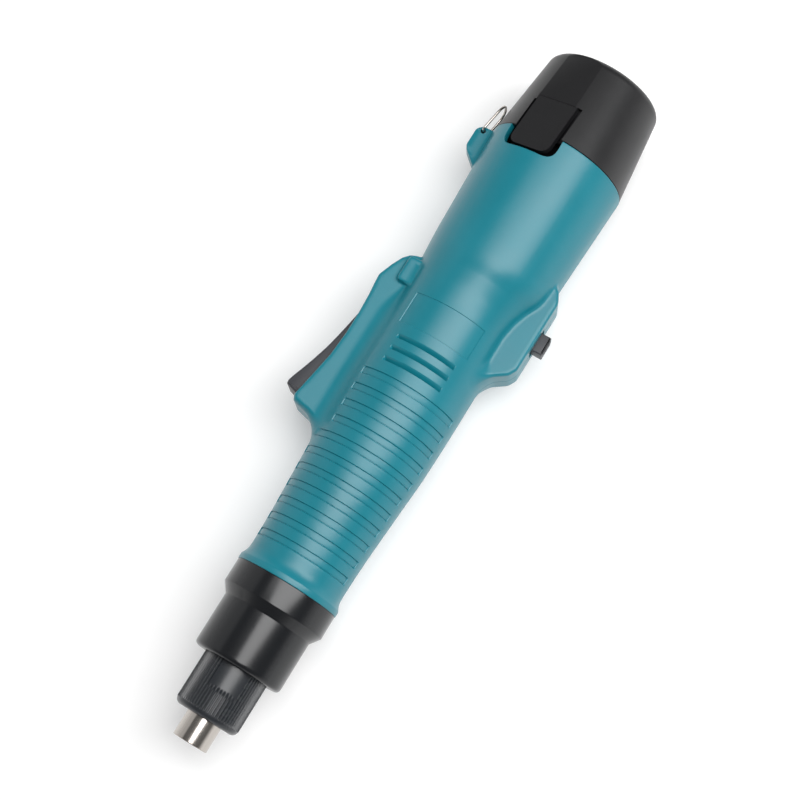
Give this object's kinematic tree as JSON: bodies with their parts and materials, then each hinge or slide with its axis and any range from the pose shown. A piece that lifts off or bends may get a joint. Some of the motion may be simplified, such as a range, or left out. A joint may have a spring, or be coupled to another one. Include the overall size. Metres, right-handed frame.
{
  "type": "cordless screwdriver",
  "caption": "Cordless in-line screwdriver: lever start, torque ring, sleeve-lock hex bit holder, planetary gearbox and a slide-in battery",
  "frame": {"origin": "centre of the bit holder's mouth, on the drive axis", "axes": "+X along the drive axis towards the battery, +Y towards the start lever, +Z out of the front half of the casing; the tool lies on its back half"},
  "size_m": [0.2682, 0.0705, 0.05],
  "materials": {
    "teal_shell": "satin, fine grain",
    "black_nose": "semi-gloss",
    "dark_ring": "satin",
    "chrome": "polished",
    "steel": "machined",
    "bronze": "sintered",
    "magnet": "dull",
    "copper": "bright",
    "switch_black": "matte",
    "plunger_white": "matte",
    "lever_grey": "satin",
    "knob_grey": "satin",
    "board_green": "satin",
    "battery_black": "matte, fine grain",
    "cell_wrap": "gloss"
  },
  "bodies": {
    "housing": {"upper_shell": "teal_shell", "lower_shell": "teal_shell", "nose_cone": "black_nose", "spring_washer": "steel", "clutch_spring": "steel", "clutch_housing": "steel", "front_bush": "bronze", "carrier_bearing": "steel", "ring_gear": "steel", "gearbox_plate": "steel", "motor_can": "steel", "motor_magnets": "magnet", "motor_end_cap": "switch_black", "motor_bushes": "bronze", "motor_brushes": "magnet", "lever_pin": "steel", "lever_spring": "steel", "start_switch": "switch_black", "direction_switch": "switch_black", "control_board": "board_green", "contact_block": "switch_black", "contact_blades": "copper", "housing_screws": "steel"},
    "spindle": {"spindle": "steel", "bit_balls": "chrome", "retaining_clip": "steel", "sleeve_spring": "steel", "clutch_ring": "steel", "clutch_balls": "chrome", "output_carrier": "steel"},
    "chuck_sleeve": {"chuck_sleeve": "chrome"},
    "torque_ring": {"torque_ring": "dark_ring"},
    "thrust_collar": {"thrust_collar": "steel"},
    "middle_carrier": {"middle_carrier": "steel"},
    "rotor": {"rotor": "steel", "windings": "copper"},
    "lever": {"lever": "lever_grey"},
    "switch_plunger": {"switch_plunger": "plunger_white"},
    "direction_knob": {"direction_knob": "knob_grey"},
    "hang_ring": {"hang_ring": "steel"},
    "battery": {"pack_cap": "battery_black", "pack_stem": "battery_black", "cells": "cell_wrap", "pack_board": "board_green", "pack_terminals": "copper", "latch_pins": "steel"},
    "latch_tab_front": {"latch_tab_front": "battery_black"},
    "latch_tab_back": {"latch_tab_back": "battery_black"},
    "output_planet_1": {"output_planet_1": "steel"},
    "output_planet_2": {"output_planet_2": "steel"},
    "output_planet_3": {"output_planet_3": "steel"},
    "motor_planet_1": {"motor_planet_1": "steel"},
    "motor_planet_2": {"motor_planet_2": "steel"},
    "motor_planet_3": {"motor_planet_3": "steel"}
  },
  "joints": [
    {"name": "spindle_spin", "type": "hinge", "parent": "housing", "child": "spindle", "pos_m": [0.03, 0, 0], "axis": [1, 0, 0], "continuous": true},
    {"name": "middle_carrier_spin", "type": "hinge", "parent": "housing", "child": "middle_carrier", "pos_m": [0.07, 0, 0], "axis": [1, 0, 0], "continuous": true},
    {"name": "rotor_spin", "type": "hinge", "parent": "housing", "child": "rotor", "pos_m": [0.1, 0, 0], "axis": [1, 0, 0], "continuous": true},
    {"name": "output_planet_1_spin", "type": "hinge", "parent": "spindle", "child": "output_planet_1", "pos_m": [0.0655, 0.0081, 0], "axis": [1, 0, 0], "continuous": true},
    {"name": "output_planet_2_spin", "type": "hinge", "parent": "spindle", "child": "output_planet_2", "pos_m": [0.0655, -0.00405, 0.00701], "axis": [1, 0, 0], "continuous": true},
    {"name": "output_planet_3_spin", "type": "hinge", "parent": "spindle", "child": "output_planet_3", "pos_m": [0.0655, -0.00405, -0.00701], "axis": [1, 0, 0], "continuous": true},
    {"name": "motor_planet_1_spin", "type": "hinge", "parent": "middle_carrier", "child": "motor_planet_1", "pos_m": [0.0748, 0.0081, 0], "axis": [1, 0, 0], "continuous": true},
    {"name": "motor_planet_2_spin", "type": "hinge", "parent": "middle_carrier", "child": "motor_planet_2", "pos_m": [0.0748, -0.00405, 0.00701], "axis": [1, 0, 0], "continuous": true},
    {"name": "motor_planet_3_spin", "type": "hinge", "parent": "middle_carrier", "child": "motor_planet_3", "pos_m": [0.0748, -0.00405, -0.00701], "axis": [1, 0, 0], "continuous": true},
    {"name": "sleeve_slide", "type": "slide", "parent": "spindle", "child": "chuck_sleeve", "axis": [1, 0, 0], "range_m": [0, 0.003], "stiffness_N_per_m": 1500, "springref_m": -0.003, "deforming": ["sleeve_spring"]},
    {"name": "torque_ring_turn", "type": "hinge", "parent": "housing", "child": "torque_ring", "pos_m": [0.02, 0, 0], "axis": [1, 0, 0], "range_deg": [0, 720]},
    {"name": "thrust_collar_slide", "type": "slide", "parent": "housing", "child": "thrust_collar", "axis": [1, 0, 0], "range_m": [0, 0.0025], "deforming": ["clutch_spring"]},
    {"name": "lever_press", "type": "hinge", "parent": "housing", "child": "lever", "pos_m": [0.173, 0.023, 0], "axis": [0, 0, 1], "range_deg": [0, 4], "stiffness_Nm_per_rad": 0.6, "springref_deg": -8.59, "deforming": ["lever_spring"]},
    {"name": "plunger_slide", "type": "slide", "parent": "housing", "child": "switch_plunger", "axis": [0, -1, 0], "range_m": [0, 0.0014]},
    {"name": "direction_slide", "type": "slide", "parent": "housing", "child": "direction_knob", "axis": [1, 0, 0], "range_m": [-0.0013, 0.0013]},
    {"name": "ring_swing", "type": "hinge", "parent": "housing", "child": "hang_ring", "pos_m": [0.2315, 0.0262, 0], "axis": [0, 0, 1], "range_deg": [0, 140]},
    {"name": "battery_slide", "type": "slide", "parent": "housing", "child": "battery", "axis": [1, 0, 0], "range_m": [0, 0.05]},
    {"name": "latch_front_press", "type": "hinge", "parent": "battery", "child": "latch_tab_front", "pos_m": [0.2465, 0.00875, 0.01897], "axis": [0, -0.866, 0.5], "range_deg": [0, 3], "stiffness_Nm_per_rad": 0.3, "springref_deg": -5.73},
    {"name": "latch_back_press", "type": "hinge", "parent": "battery", "child": "latch_tab_back", "pos_m": [0.2465, 0.00875, -0.01897], "axis": [0, 0.866, 0.5], "range_deg": [0, 3], "stiffness_Nm_per_rad": 0.3, "springref_deg": -5.73}
  ],
  "couplings": [
    {"joint": "spindle_spin", "follows": "rotor_spin", "ratio": 0.049383},
    {"joint": "middle_carrier_spin", "follows": "rotor_spin", "ratio": 0.22222},
    {"joint": "output_planet_1_spin", "follows": "rotor_spin", "ratio": -0.13827},
    {"joint": "output_planet_2_spin", "follows": "rotor_spin", "ratio": -0.13827},
    {"joint": "output_planet_3_spin", "follows": "rotor_spin", "ratio": -0.13827},
    {"joint": "motor_planet_1_spin", "follows": "rotor_spin", "ratio": -0.62222},
    {"joint": "motor_planet_2_spin", "follows": "rotor_spin", "ratio": -0.62222},
    {"joint": "motor_planet_3_spin", "follows": "rotor_spin", "ratio": -0.62222},
    {"joint": "thrust_collar_slide", "follows": "torque_ring_turn", "m_per_rad": 0.00019894},
    {"joint": "plunger_slide", "follows": "lever_press", "m_per_rad": 0.02}
  ]
}
